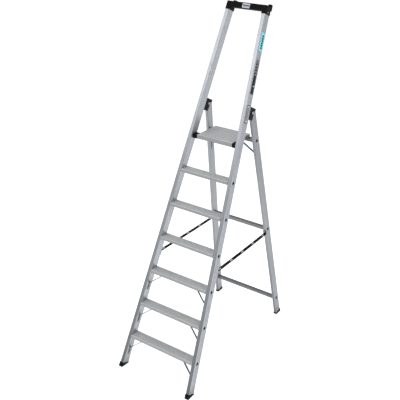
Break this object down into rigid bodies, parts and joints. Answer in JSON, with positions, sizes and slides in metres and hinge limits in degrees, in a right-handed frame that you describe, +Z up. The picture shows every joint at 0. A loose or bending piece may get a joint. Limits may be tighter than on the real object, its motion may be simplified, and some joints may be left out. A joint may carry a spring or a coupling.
{
  "type": "platform step ladder",
  "caption": "Free-standing folding step ladder: ribbed treads between tapering aluminium stiles, a folding platform, a black top bow, a hinged rear frame and webbing straps.",
  "frame": {"origin": "on the floor, in the middle of the box round the open ladder", "axes": "+Z up; +X to the right as one climbs; the treads' noses and the climber's side face -Y"},
  "size_m": [0.6484, 1.332, 2.527],
  "materials": {
    "stile_aluminium": "mill-finish extruded aluminium with fine long ribs, satin",
    "tread_aluminium": "ribbed extruded aluminium, duller on the ribs' sides",
    "crossbar_aluminium": "dark satin extruded aluminium",
    "black_plastic": "black moulded plastic, fine grain",
    "bracket_black": "black coated pressed metal, satin",
    "grey_plastic": "dark grey moulded plastic",
    "dark_steel": "dark grey-green coated strip",
    "bright_steel": "zinc-plated",
    "strap_webbing": "dark woven webbing with pale stitched dashes",
    "label_blue": "printed sticker, pale blue and white",
    "label_black": "printed sticker, black with pale chevrons",
    "label_grey": "printed sticker, pale with dark blocks"
  },
  "bodies": {
    "front_frame": {"stile_left": "stile_aluminium", "stile_right": "stile_aluminium", "step_1": "tread_aluminium", "step_2": "tread_aluminium", "step_3": "tread_aluminium", "step_4": "tread_aluminium", "step_5": "tread_aluminium", "step_6": "tread_aluminium", "step_end_blocks": "grey_plastic", "step_bolts": "bright_steel", "step_braces_left": "dark_steel", "step_braces_right": "dark_steel", "brace_rivets": "bright_steel", "front_foot_left": "black_plastic", "front_foot_right": "black_plastic", "hinge_bracket_left": "bracket_black", "hinge_bracket_right": "bracket_black", "hinge_pin_left": "bright_steel", "hinge_pin_right": "bright_steel", "bracket_rivets": "bright_steel", "platform_bearing_left": "black_plastic", "platform_bearing_right": "black_plastic", "platform_pin_left": "bright_steel", "platform_pin_right": "bright_steel", "bearing_bolts": "bright_steel", "top_bow": "black_plastic", "bow_screws": "bright_steel", "strap_left": "strap_webbing", "strap_right": "strap_webbing", "strap_rivets_front": "bright_steel", "label_round": "label_blue", "label_stripe": "label_black", "label_box": "label_grey", "bow_label": "label_grey"},
    "rear_frame": {"rear_leg_left": "stile_aluminium", "rear_leg_right": "stile_aluminium", "hinge_bush_left": "grey_plastic", "hinge_bush_right": "grey_plastic", "crossbar_bottom": "crossbar_aluminium", "crossbar_middle": "crossbar_aluminium", "crossbar_top": "crossbar_aluminium", "crossbar_bolts": "bright_steel", "rear_brace_left": "dark_steel", "rear_brace_right": "dark_steel", "rear_brace_rivets": "bright_steel", "rear_foot_left": "black_plastic", "rear_foot_right": "black_plastic", "strap_rivets_rear": "bright_steel"},
    "platform": {"platform_deck": "tread_aluminium", "platform_side_left": "grey_plastic", "platform_side_right": "grey_plastic"}
  },
  "joints": [
    {"name": "rear_fold", "type": "hinge", "parent": "front_frame", "child": "rear_frame", "pos_m": [0, 0.27782, 1.8265], "axis": [-1, 0, 0], "range_deg": [0, 33], "deforming": ["strap_left", "strap_right"]},
    {"name": "platform_fold", "type": "hinge", "parent": "front_frame", "child": "platform", "pos_m": [0, 0.12045, 1.629], "axis": [1, 0, 0], "range_deg": [0, 62.1]}
  ],
  "couplings": [
    {"joint": "platform_fold", "follows": "rear_fold", "ratio": 1.88}
  ]
}
